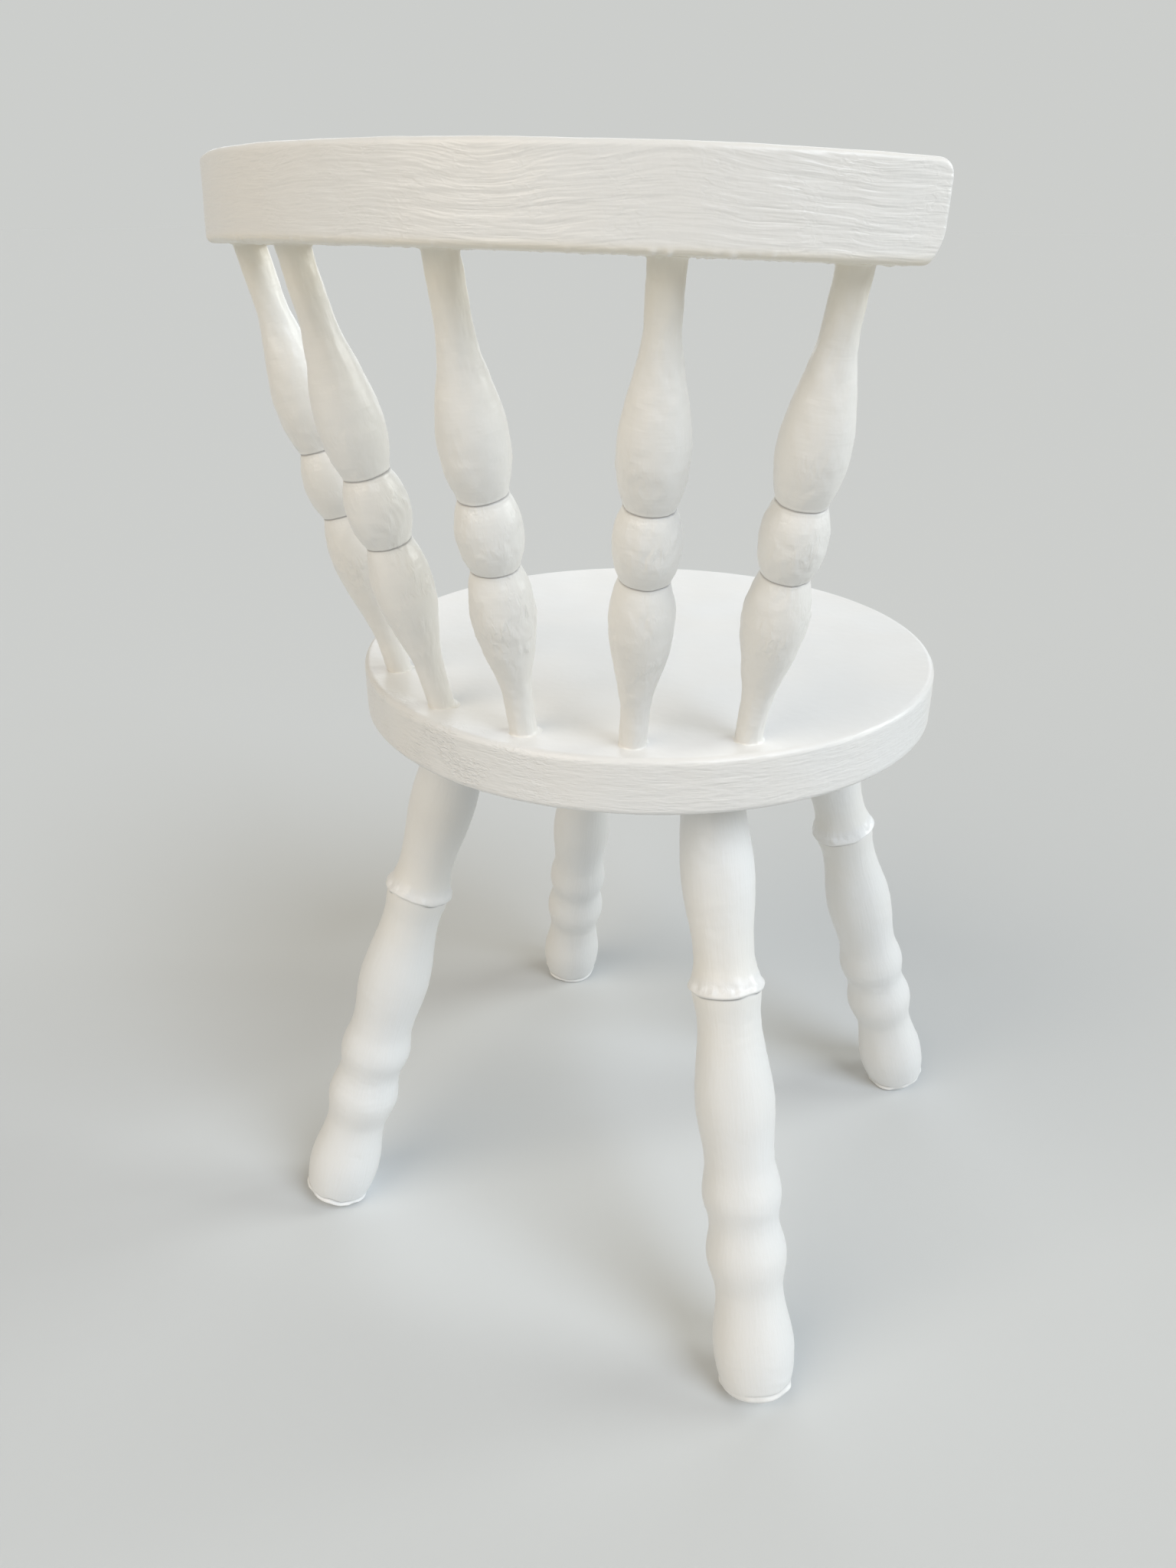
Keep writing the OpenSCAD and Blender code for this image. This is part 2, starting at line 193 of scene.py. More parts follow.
def brushed_paint(name, colour, strokes, stroke_depth, lump_depth, wrinkles, wrinkle_depth):
    """Satin oil paint laid on with a brush. strokes says how many bristle lines there are to the
    metre along each direction of the piece's own "lay", so that they run the way it was brushed,
    and wrinkles says the same of the small wrinkles."""
    # To the metre: pressed patches, soft lumps, crowds of wrinkles, and drifts of colour.
    patches, bumps, crowds, drifts = ((n, n, n) for n in (40, 190, 75, 16))
    # How much wider apart and deeper the lines are where the brush was pressed.
    pressed_apart, pressed_deep = 2.4, 1.5
    # What the paint's colour is multiplied by where it is thin or thick, where it drifts to a
    # cooler white, and where painted shade darkens the creases. It is never whiter than whitest.
    warm_tint, white_tint = (1.0, 0.965, 0.88), (1.05, 1.06, 1.08)
    cool_tint, crease_shade_tint = (0.985, 1.0, 1.02), (0.46, 0.46, 0.48)
    whitest = 0.9
    satin, satin_drift, crease_matt = 0.30, 0.06, 0.3
    paint_ior = 1.48

    material = bpy.data.materials.new(name)
    material.use_nodes = True
    tree = material.node_tree
    shader = tree.nodes["Principled BSDF"]
    wire = Wire(tree)
    lay = wire.mark("lay", 1)

    # The brush's lines: fine ones all over, and fewer, deeper ones where it was pressed.
    fine = wire.grain(lay, strokes, 1.5, 0.15)
    pressed = wire.grain(lay, [s / pressed_apart for s in strokes], 2.0, 0.5)
    where = wire.grain(lay, patches).stepped(0.3, 0.62)
    deep = stroke_depth * pressed_deep
    lines = (fine - 0.5) * stroke_depth + (pressed - 0.5) * deep * (0.3 + where)
    lines = lines * wire.mark("brushed")

    # Soft lumps, and small wrinkles where half-dry paint was brushed once more.
    lumps = wire.grain(lay, bumps, 2.0)
    curls = wire.grain(lay, wrinkles, 1.0, 0.8).stepped(0.36, 0.7)
    crowd = wire.grain(lay, crowds, 1.0).stepped(0.35, 0.65) * wire.mark("wrinkled")
    height = lines + (lumps - 0.5) * lump_depth + curls * crowd * wrinkle_depth
    bump = wire.node("Bump", {}, {"Strength": 1.0, "Distance": 1.0, "Height": height})
    tree.links.new(bump.socket, shader.inputs["Normal"])

    # The coat is warmer where it is thin and whiter where it is thick. The same mark also holds
    # painted
    # light: a warm painted shade along the rail's underside, and a painted highlight where the legs'
    # feet and collars are whitened. Grey painted shade darkens the creases.
    warm, cool, shaded = (
        [c * k for c, k in zip(colour, tint)] for tint in (warm_tint, cool_tint, crease_shade_tint))
    white = [min(whitest, c * k) for c, k in zip(colour, white_tint)]
    drift = wire.grain(lay, drifts, 2.0)
    body = wire.mixed(drift.stepped(0.35, 0.75), (*cool, 1), (*colour, 1))
    thin_coat_and_painted_light = wire.mark("thin_coat_and_painted_light") * (0.5 + drift)
    body = wire.mixed(thin_coat_and_painted_light.stepped(0.0, 1.0), body, (*warm, 1))
    body = wire.mixed((0 - wire.mark("thin_coat_and_painted_light")).stepped(0.0, 1.0), body, (*white, 1))
    body = wire.mixed(wire.mark("crease"), body, (*shaded, 1))
    tree.links.new(body.socket, shader.inputs["Base Color"])
    rough = satin + where * satin_drift + wire.mark("crease") * crease_matt
    tree.links.new(rough.socket, shader.inputs["Roughness"])
    shader.inputs["IOR"].default_value = paint_ior
    return material


def finished(piece, material, slot, *nodes):
    """The piece takes its paint, stands for its CAD nodes and belongs to the chair's one body."""
    piece.data.materials.clear()
    piece.data.materials.append(material)
    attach(piece, "root")
    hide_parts(*nodes)


def eased(start, end, centre, radius, steps):
    """Points (r, z) of an eased edge, an arc about centre from one angle to another."""
    turn = np.radians(np.linspace(start, end, steps))
    return np.stack([centre[0] + radius * np.cos(turn), centre[1] + radius * np.sin(turn)], axis=-1)


def seat_board():
    """The round board, as rings from the middle of its underside out, up and back in on top."""
    rim, under, top = seat_radius, seat_low.z, seat_high.z
    flat = rim - seat_ease
    inwards = np.concatenate([
        np.linspace(flat - 0.4 * millimetre, 0.9 * rim, 10), np.linspace(0.88 * rim, 0.03, 20)])
    upwards = np.linspace(under + seat_ease, top - seat_ease, 34)[1:-1]
    outline = np.concatenate([
        [(r, under) for r in np.linspace(0.02, flat - millimetre, 14)],
        eased(-90, 0, (flat, under + seat_ease), seat_ease, 9),
        [(rim, z) for z in upwards],
        eased(0, 90, (flat, top - seat_ease), seat_ease, 11),
        [(r, top) for r in inwards],
    ])
    angle = np.arange(seat_steps) / seat_steps * math.tau
    around = np.stack([np.cos(angle), np.sin(angle), 0 * angle], axis=-1)
    rings = outline[:, None, :1] * around + outline[:, None, 1:] * np.array([0, 0, 1.0])
    near_rim = np.clip((outline[:, 0] / rim - 0.93) / 0.07, 0, 1)[:, None]
    slow = rim_wander * unevenness(rings, 55 * millimetre, 1)
    ridges = rim_ridge * unevenness(rings * (0.16, 0.16, 1), 3.2 * millimetre, 2)
    lumps = rim_lump * unevenness(rings, 6 * millimetre, 3)
    # On one side the paint was half dry when it was brushed once more, and it wrinkled.
    half_dry = np.exp(-((np.degrees(angle) - half_dry_at) / half_dry_reach) ** 2) * near_rim
    patchy = np.clip(0.7 + 2 * unevenness(rings, 12 * millimetre, 5), 0.1, 1)
    folds = np.maximum(ripples(rings, 1.5 * millimetre, (2.2, 2.2, 1), 90), -0.1)
    wrinkles = rim_wrinkle * folds
    coat = slow + ridges + lumps + wrinkles * half_dry * patchy
    rings = rings + around * (coat * near_rim)[..., None]
    level = np.where(outline[:, 1] > seat_middle.z, 1, -1)[:, None]
    swell = face_swell * unevenness(rings, 24 * millimetre, 4)
    rings[..., 2] += swell * level * (1 - 0.5 * near_rim)
    lay = rings.copy()
    rings = rings + np.array([seat_middle.x, seat_middle.y, 0])
    marks = {
        "lay": lay,
        "wrinkled": half_dry,
        "thin_coat_and_painted_light": np.zeros(rings.shape[:2]),
        "crease": np.zeros(rings.shape[:2]),
        "brushed": 0.1 + 0.9 * near_rim * np.ones(rings.shape[:2]),
    }
    return skin("seat_board", rings, marks)


seat_finish = brushed_paint(
    "brushed_seat", (0.81, 0.80, 0.78), (150, 150, 1000), 0.24 * millimetre, 0.12 * millimetre,
    (380, 380, 900), 0.26 * millimetre)
finished(seat_board(), seat_finish, "seat_paint", "seat")

# ---- The legs ----
# Four alike, each turned from one length of stock with a round foot, two beads, a long swell and
# a sharp collar. They splay outwards, and each is glued by a round tenon into the seat's underside.
# Paint gathered in a lip round the cut end of each foot and in lumps on top of each collar.

leg_inset = 47.5 * millimetre
leg_splay = 91 * millimetre
leg_bearing = 44.5
foot_bearings = {1: 46, -1: 43}
foot_end_r = 16.5 * millimetre
foot_wear = 0.6 * millimetre
leg_tenon = (10 * millimetre, 16 * millimetre)
leg_tenon_ease = 0.5 * millimetre
leg_steps = 112
leg_row = 1.15 * millimetre
leg_mean_r = 17 * millimetre
leg_top_r = 13.3 * millimetre
# The collar's sharp edge is this far below the seat, and painted shade darkens the cut under it.
collar_down = 102.2 * millimetre
undercut_down = 103.6 * millimetre
# How high the coat's lumps and rings, the lumps on the collar and the foot's lip stand, how deep
# the crease over the lip is, and how far paint crept down from the seat.
leg_lump, leg_ring, collar_lump = 0.13 * millimetre, 0.16 * millimetre, 0.6 * millimetre
lip_out, lip_crease = 0.55 * millimetre, 0.3 * millimetre
foot_corner = 0.9 * millimetre
leg_fillet = 1.4 * millimetre


def polar(radius, bearing, z):
    """A point at a distance and a bearing from straight behind the seat's middle."""
    turn = math.radians(bearing)
    return np.array([
        seat_middle.x + radius * math.sin(turn), seat_middle.y + radius * math.cos(turn), z])


def level_both(t):
    """A stretch of outline that is level at both its ends."""
    return (1 - np.cos(math.pi * t)) / 2


def arc_level_high(run, rise):
    """A stretch of outline that is an arc, level at its upper end."""
    big = (run * run + rise * rise) / (2 * abs(rise))
    return lambda t: 1 - (big - np.sqrt(big * big - (run * (1 - t)) ** 2)) / abs(rise)


def arc_level_low(run, rise):
    """A stretch of outline that is an arc, level at its lower end."""
    return lambda t: 1 - arc_level_high(run, rise)(1 - t)


def radius_at(heights, stations):
    """The outline's radius at each height. A station is (height, diameter, kind of the stretch
    up to it), in millimetres."""
    radius = np.full(heights.shape, stations[0][1] / 2.0)
    h = heights / millimetre
    for (h0, d0, _), (h1, d1, kind) in zip(stations, stations[1:]):
        t = np.clip((h - h0) / (h1 - h0), 0, 1)
        run, rise = h1 - h0, (d1 - d0) / 2
        shape = level_both if kind == "s" else kind(run, rise)
        part = d0 / 2 + rise * shape(t)
        radius = np.where(h >= h0, part, radius)
    return radius * millimetre


def leg_stations(long):
    """Heights and diameters up a leg, in millimetres, from its lower end to the seat."""
    undercut = long - undercut_down / millimetre
    collar = long - collar_down / millimetre
    return [
        (0, 33, None), (20.5, 39.3, arc_level_high), (50.5, 32.6, "s"), (69.8, 38.6, "s"),
        (86.6, 33.4, "s"), (100.8, 37.7, "s"), (117.6, 33.2, "s"), (146.7, 37.4, "s"),
        (long - 118.2, 29.6, "s"), (undercut, 32.4, "s"), (undercut + 0.2, 34, "s"),
        (collar, 35.4, arc_level_high), (collar + 15, 27.9, arc_level_high),
        (long - 50, 33.5, "s"), (long, 26.6, "s"),
    ]


def meniscus(gap, reach):
    """How far paint stands out from a joint's line at a distance gap from the face it runs onto."""
    near = np.clip(1 - gap / reach, 0, 1)
    return reach * (1 - np.sqrt(1 - near**2))


class Turning:
    """A turned piece's own axes: its heights run from start to end, and its sides face outwards."""

    def __init__(self, start, end, steps):
        self.start = start
        self.long = np.linalg.norm(end - start)
        self.axis = (end - start) / self.long
        side = np.array([1.0, 0, 0]) - self.axis[0] * self.axis
        side /= np.linalg.norm(side)
        other = np.cross(self.axis, side)
        angle = np.arange(steps) / steps * math.tau
        self.out = np.cos(angle)[:, None] * side + np.sin(angle)[:, None] * other
        self.turn = np.stack([np.cos(angle), np.sin(angle)], axis=-1)

    def cut_height(self, radius, point, normal):
        """The height at which each side of a cylinder of that radius meets a plane."""
        lean = self.out @ normal
        return ((point - self.start) @ normal - radius * lean) / (self.axis @ normal)

    def points(self, heights, radii):
        """Where the points at these heights and radii lie in the chair."""
        return self.start + heights[..., None] * self.axis + radii[..., None] * self.out

    def lay(self, heights, radii):
        """The same points in the piece's own directions, height last."""
        flat = radii[..., None] * self.turn
        return np.concatenate([flat, heights[..., None]], axis=-1)


def close_up(heights, places, reach, steps):
    """Heights with extra ones close to certain places."""
    more = [place + reach * np.linspace(-1, 1, steps) for place in places]
    every = np.sort(np.clip(np.concatenate([heights, *more]), heights.min(), heights.max()))
    apart = np.diff(every, append=np.inf) > 5e-6
    return every[apart]


def leg(name, side, end):
    """One leg. side is 1 at the sitter's left and -1 at the right, end 1 behind and -1 in front."""
    top = polar(seat_radius - leg_inset, leg_bearing, seat_low.z)
    foot = polar(seat_radius - leg_inset + leg_splay, foot_bearings[end], 0)
    middle = np.array([seat_middle.x, seat_middle.y, 0])
    flip = np.array([side, end, 1])
    top, foot = middle + (top - middle) * flip, middle + (foot - middle) * flip
    lean = math.acos((top - foot)[2] / np.linalg.norm(top - foot))
    lift = (foot_end_r * math.sin(lean) - foot_wear) / math.cos(lean)
    start = foot + (top - foot) / np.linalg.norm(top - foot) * lift
    wood = Turning(start, top, leg_steps)
    long = wood.long
    up = np.array([0, 0, 1.0])
    collar = long - collar_down

    rows = np.linspace(0, long, int(long / leg_row))
    rows = close_up(rows, [0, 3.2 * millimetre], 2 * millimetre, 13)
    rows = close_up(rows, [collar - 1 * millimetre], 3 * millimetre, 31)
    rows = close_up(rows, [long], 3 * millimetre, 9)
    # The top few rows tilt over until the last lies flat under the seat.
    over = wood.cut_height(leg_top_r + leg_fillet, top, up) + 0.2 * millimetre - long
    near_top = np.clip((rows - long) / (45 * millimetre) + 1, 0, 1) ** 2
    heights = rows[:, None] + near_top[:, None] * over
    seed = 20 + 3 * side + end
    lay = wood.lay(heights, np.full(heights.shape, leg_mean_r))
    wander = unevenness(lay, 7 * millimetre, seed + 40)
    near_collar = np.exp(-((heights - collar) / (5 * millimetre)) ** 2)
    sampled = heights + 0.9 * millimetre * wander * near_collar
    radii = radius_at(sampled, leg_stations(long / millimetre))

    # Soft lumps and faint rings in the coat, and bigger lumps on the collar's upper side.
    radii = radii + leg_lump * unevenness(lay, 11 * millimetre, seed)
    patchy = np.clip(0.5 + unevenness(lay, 20 * millimetre, seed + 5), 0, 1)
    radii = radii + leg_ring * patchy * ripples(lay, 2.5 * millimetre, (3, 3, 1), seed + 6)
    on_collar = np.exp(-((heights - collar - 2.2 * millimetre) / (2.6 * millimetre)) ** 2)
    radii = radii + on_collar * collar_lump * unevenness(lay, 3 * millimetre, seed + 1)
    # The lip round the foot's cut end, with a crease above it and a few small notches.
    flat_lay = lay * (1, 1, 0.2)
    ragged = np.clip(0.9 + 1.9 * unevenness(flat_lay, 6 * millimetre, seed + 2), 0.15, 2)
    shift = (1 + 1.1 * unevenness(flat_lay, 8 * millimetre, seed + 7)) * millimetre
    lip = np.exp(-((heights - 0.8 * millimetre - 0.8 * shift) / (1.2 * millimetre)) ** 2)
    crease = np.exp(-((heights - 2.6 * millimetre - 1.1 * shift) / (0.55 * millimetre)) ** 2)
    notch = np.clip(unevenness(flat_lay, 4 * millimetre, seed + 3) - 0.4, 0, 1)
    notch = notch * np.exp(-heights / (2.5 * millimetre))
    radii = radii + ragged * (lip_out * lip - lip_crease * crease) - notch * millimetre
    corner = np.clip(1 - heights / foot_corner, 0, 1)
    radii = radii - foot_corner * (1 - np.sqrt(1 - corner**2))
    radii = radii + meniscus(seat_low.z - wood.points(heights, radii)[..., 2], leg_fillet)

    # Painted shade darkens the cut under the collar and the crease over the foot's lip.
    under_collar = np.exp(-((sampled - collar + 1.7 * millimetre) / (0.5 * millimetre)) ** 2)
    shade = np.clip(0.65 * under_collar * (0.8 + 1.4 * wander) + 0.3 * crease * ragged, 0, 1)
    # Near the collar the coat is tinted warm where it is thin. The foot's lip and the collar's upper
    # side are whitened, both as thick paint and as a painted highlight.
    thin_coat_and_painted_light = 0.3 * np.clip(1 - np.abs(heights - collar) / (80 * millimetre), 0, 1)
    thin_coat_and_painted_light = thin_coat_and_painted_light - lip * ragged - on_collar
    tenon_r, tenon_l = leg_tenon
    shoulder = wood.cut_height(tenon_r, top, up)
    end_rows = [
        (shoulder, tenon_r), (long + tenon_l - leg_tenon_ease, tenon_r),
        (long + tenon_l, tenon_r - leg_tenon_ease),
    ]
    heights = np.concatenate([heights] + [np.broadcast_to(h, (1, leg_steps)) for h, _ in end_rows])
    radii = np.concatenate([radii] + [np.full((1, leg_steps), r) for _, r in end_rows])
    points = wood.points(heights, radii)
    points[..., 2] = np.maximum(points[..., 2], 0)
    spare = np.zeros((len(end_rows), leg_steps))
    marks = {
        "lay": wood.lay(heights, radii),
        "wrinkled": np.concatenate([0.8 * on_collar, spare]),
        "thin_coat_and_painted_light": np.concatenate([thin_coat_and_painted_light, spare]),
        "crease": np.concatenate([shade, spare]),
        "brushed": np.ones(heights.shape),
    }
    return skin(name, points, marks)


leg_finish = brushed_paint(
    "brushed_legs", (0.80, 0.797, 0.782), (800, 800, 45), 0.09 * millimetre, 0.14 * millimetre,
    (420, 420, 420), 0.15 * millimetre)
for across, side in (("left", 1), ("right", -1)):
    for along, end in (("rear", 1), ("front", -1)):
        node = f"leg_{along}_{across}"
        finished(leg("turned_" + node, side, end), leg_finish, "leg_paint", node)

# ---- The crest rail, its place ----
# The rail that the back rests on is a sawn arc of board. It slopes a little, because its holes
# were bored by hand, and the spindles below have to reach it, so its place comes before them.

back_h = 185.3 * millimetre
rail_r, rail_t, rail_h = 188.3 * millimetre, 26 * millimetre, 30 * millimetre
rail_inset = 16.3 * millimetre
rail_forward = 1.2 * millimetre
rail_overrun = 22 * millimetre
rail_pitch, rail_roll = math.radians(3.2), math.radians(0.6)
rail_pivot = polar(rail_r - rail_inset - rail_forward, 0, seat_high.z + back_h)


def sloped(v):
    """A vector, or many, sloped as the rail is."""
    x, y, z = v[..., 0], v[..., 1], v[..., 2]
    y, z = (y * math.cos(rail_pitch) - z * math.sin(rail_pitch),
            y * math.sin(rail_pitch) + z * math.cos(rail_pitch))
    x, z = (x * math.cos(rail_roll) - z * math.sin(rail_roll),
            x * math.sin(rail_roll) + z * math.cos(rail_roll))
    return np.stack([x, y, z], axis=-1)


def on_rail(radius, bearing, height):
    """Points at distances and bearings about the rail's centre of curve, above its underside."""
    across = radius * np.sin(bearing)
    behind = radius * np.cos(bearing) - (rail_r - rail_inset)
    return rail_pivot + sloped(np.stack([across, behind, height], axis=-1))


# ---- The spindles ----
# Five alike, turned with two long bulbs and a ball between them. The two V-grooves that part them
# still show as thin dark lines, where the brush bridged over them. Each has a tenon at both ends,
# and wet paint crept up into small ragged fillets where it meets the seat and the rail.

spindle_inset = 15.5 * millimetre
seat_bearings = [43.5, 19.7, -2.3, -24, -46.1]
rail_bearings = [45.5, 22.3, -2.6, -27.3, -47.3]
spindle_tenon = (5 * millimetre, 13 * millimetre)
spindle_tenon_ease = 0.4 * millimetre
spindle_steps = 112
spindle_row = 0.8 * millimetre
spindle_mean_r = 12 * millimetre
spindle_foot_r, spindle_head_r = 5.6 * millimetre, 6.3 * millimetre
grooves = [77.5 * millimetre, 106.5 * millimetre]
spindle_stations = [
    (-10, 11.2, None), (0, 11.2, "s"), (14, 11.8, "s"), (59.5, 25.4, "s"),
    (77.5, 18.4, arc_level_low), (92, 25.7, arc_level_high), (106.5, 18.4, arc_level_low),
    (126, 25.9, arc_level_high), (170, 12.6, "s"), (220, 12.6, "s"),
]
# The paint fills each groove from both sides, and leaves a line this deep down its middle.
groove_fill = 0.35 * millimetre
# How high the coat's broad lumps, small lumps and runs stand.
spindle_lump, spindle_dimple, spindle_run = 0.25 * millimetre, 0.15 * millimetre, 0.26 * millimetre
# How far up the paint crept at the foot and the head, and the side that has more of it.
fillets = (0.9 * millimetre, 0.6 * millimetre)
fillet_side = np.array([-0.87, -0.49, 0])
# Where the paint is crowded with runs: height, reach and share. And the side where it wrinkled.
run_places = ((0.092, 0.012, 1.0), (0.064, 0.012, 0.8), (0.043, 0.014, 0.8), (0.118, 0.012, 0.6))
wrinkled_side = np.array([-0.86, 0.51, 0])
# The neck, where the paint is thin, begins at this height.
neck_h = 150 * millimetre


def spindle(name, i):
    """One spindle, the i-th from the sitter's left."""
    foot = polar(seat_radius - spindle_inset, seat_bearings[i], seat_high.z)
    head = on_rail(np.array(rail_r - rail_inset), np.radians(rail_bearings[i]), np.array(0.0))
    wood = Turning(foot, head, spindle_steps)
    long = wood.long
    up = np.array([0, 0, 1.0])
    rail_up = sloped(up)
    rows = np.linspace(0, long, int(long / spindle_row))
    rows = close_up(rows, grooves, 1.6 * millimetre, 19)
    rows = close_up(rows, [0, long], 2 * millimetre, 13)
    # Paint crept up at both ends, raggedly, and each end is let into the paint by a hair.
    # At the seat there is more of it on the right-hand side, where the brush left it.
    hair = 0.2 * millimetre
    seed = 60 + 10 * i
    ragged = [
        size * (1 + 1.5 * unevenness(wood.out * 6 * millimetre, 3.5 * millimetre, seed + k))
        for k, size in zip((3, 4), fillets)]
    ragged[0] *= 0.7 + 0.9 * np.clip(wood.out @ fillet_side, 0, 1)
    ragged = [np.clip(reach, 0.2 * millimetre, 2 * millimetre) for reach in ragged]
    under = wood.cut_height(spindle_foot_r + ragged[0], foot, up) - hair
    over = wood.cut_height(spindle_head_r + ragged[1], head, rail_up) + hair - long
    near_foot = np.clip(1 - rows / (20 * millimetre), 0, 1) ** 2
    near_head = np.clip((rows - long) / (20 * millimetre) + 1, 0, 1) ** 2
    heights = rows[:, None] + near_foot[:, None] * under + near_head[:, None] * over
    lay = wood.lay(heights, np.full(heights.shape, spindle_mean_r))
    wander = unevenness(lay, 9 * millimetre, seed)
    sampled = heights + 0.25 * millimetre * wander
    radii = radius_at(sampled, spindle_stations)

    groove = sum(np.exp(-((sampled - g) / (0.42 * millimetre)) ** 2) for g in grooves)
    filled = sum(np.exp(-((sampled - g) / (0.9 * millimetre)) ** 2) for g in grooves)
    radii = radii + groove_fill * (filled - groove)
    radii = radii + spindle_lump * unevenness(lay, 9 * millimetre, seed + 1)
    radii = radii + spindle_dimple * unevenness(lay, 4 * millimetre, seed + 2)
    # Runs and ridges in the coat, mostly upright, most of them on the ball and the lower bulb.
    crowded = sum(part * np.exp(-((heights - at) / reach) ** 2) for at, reach, part in run_places)
    patchy = np.clip(0.6 + 1.5 * wander, 0.1, 1) * (0.25 + crowded)
    radii = radii + spindle_run * patchy * ripples(lay, 1.7 * millimetre, (1, 1, 2.6), seed + 6)
    points = wood.points(heights, radii)
    radii = radii + meniscus(points[..., 2] - foot[2], ragged[0])
    radii = radii + meniscus((head - points) @ rail_up, ragged[1])

    # Half-dry paint wrinkled on the outer side, near the top of the lower bulb and on the ball.
    facing = np.clip(wood.out @ wrinkled_side, 0, 1)
    curls = np.clip(crowded * (0.5 + 0.5 * facing) * (0.9 + wander), 0, 1)
    neck = np.clip((heights - neck_h) / (40 * millimetre), 0, 1)
    tenon_r, tenon_l = spindle_tenon
    ease = spindle_tenon_ease
    low = [
        (-tenon_l, tenon_r - ease), (ease - tenon_l, tenon_r),
        (wood.cut_height(tenon_r, foot, up), tenon_r),
    ]
    high = [
        (wood.cut_height(tenon_r, head, rail_up), tenon_r),
        (long + tenon_l - ease, tenon_r), (long + tenon_l, tenon_r - ease),
    ]

    def full(value):
        """A value, or one value for each side, as a row of its own."""
        return np.broadcast_to(value, (1, spindle_steps))

    spare = np.zeros((3, spindle_steps))
    heights = np.concatenate([*(full(h) for h, _ in low), heights, *(full(h) for h, _ in high)])
    radii = np.concatenate([*(full(r) for _, r in low), radii, *(full(r) for _, r in high)])
    # Painted shade darkens the line down each groove.
    marks = {
        "lay": wood.lay(heights, radii),
        "wrinkled": np.concatenate([spare, curls, spare]),
        "thin_coat_and_painted_light": np.concatenate([spare, 0.8 * neck, spare]),
        "crease": np.concatenate([spare, np.clip(0.85 * groove, 0, 1), spare]),
        "brushed": np.ones(heights.shape),
    }
    return skin(name, wood.points(heights, radii), marks)


spindle_finish = brushed_paint(
    "brushed_spindles", (0.84, 0.82, 0.78), (110, 110, 700), 0.08 * millimetre, 0.22 * millimetre,
    (560, 560, 190), 0.18 * millimetre)
for i in range(len(seat_bearings)):
    piece = spindle(f"turned_spindle_{i + 1}", i)
    finished(piece, spindle_finish, "spindle_paint", f"spindle_{i + 1}")

# ---- The crest rail ----
# Sawn to a curve from one board and rounded over at its ends, more below than above. The grain of
# the board and the brush both run along it, so its face is covered in long wavy lines.

rail_ease = 2.2 * millimetre
# Each end has a small round above, and below a large one that begins halfway down.
end_corner = 6 * millimetre
low_round, low_round_h = 25 * millimetre, 15 * millimetre
low_ease = 1.4 * millimetre
# How many rings of points the rail has, and how close to an end they crowd together.
rail_rings, end_rings, end_reach = 420, 18, 9 * millimetre
# How far the board is out of true, and how high the coat's ridges, lumps and beads stand.
rail_wander, rail_ridge, rail_lump = 0.2 * millimetre, 0.09 * millimetre, 0.09 * millimetre
bead_out = 1.2 * millimetre
# The arches in the grain: distance from the left end, reach and rise.
arches = ((0.147, 0.030, 0.005), (0.262, 0.034, 0.007))


def corner_drop(distance, radius):
    """How far a rounded corner falls back at a distance from the end that it rounds."""
    near = np.clip(radius - distance, 0, radius)
    return radius - np.sqrt(radius**2 - near**2)


def round_under(distance):
    """The height of the rail's underside at a distance from the end, where it is rounded up."""
    inwards = min(distance, low_round)
    bare = low_round_h - math.sqrt(2 * low_round * inwards - inwards**2)
    return (bare + math.hypot(bare, low_ease)) / 2


def rail_section(inner, outer, low, high, ease):
    """The outline (r, h) of the rail's section, with eased corners, anticlockwise from below."""
    ease = min(ease, (high - low) / 2.01, (outer - inner) / 2.01)
    corners = [
        (outer - ease, low + ease, -90), (outer - ease, high - ease, 0),
        (inner + ease, high - ease, 90), (inner + ease, low + ease, 180),
    ]
    # Points on the outer face, the top, the inner face and the underside.
    sides = [38, 22, 38, 22]
    points = []
    for k, (r, h, start) in enumerate(corners):
        arc = eased(start, start + 90, (r, h), ease, 8)
        after = corners[(k + 1) % 4]
        turn = math.radians(after[2])
        begin = np.array(after[:2]) + ease * np.array([math.cos(turn), math.sin(turn)])
        straight = arc[-1] + (begin - arc[-1]) * np.linspace(0, 1, sides[k] + 2)[1:-1, None]
        points += [arc, straight]
    return np.concatenate(points)


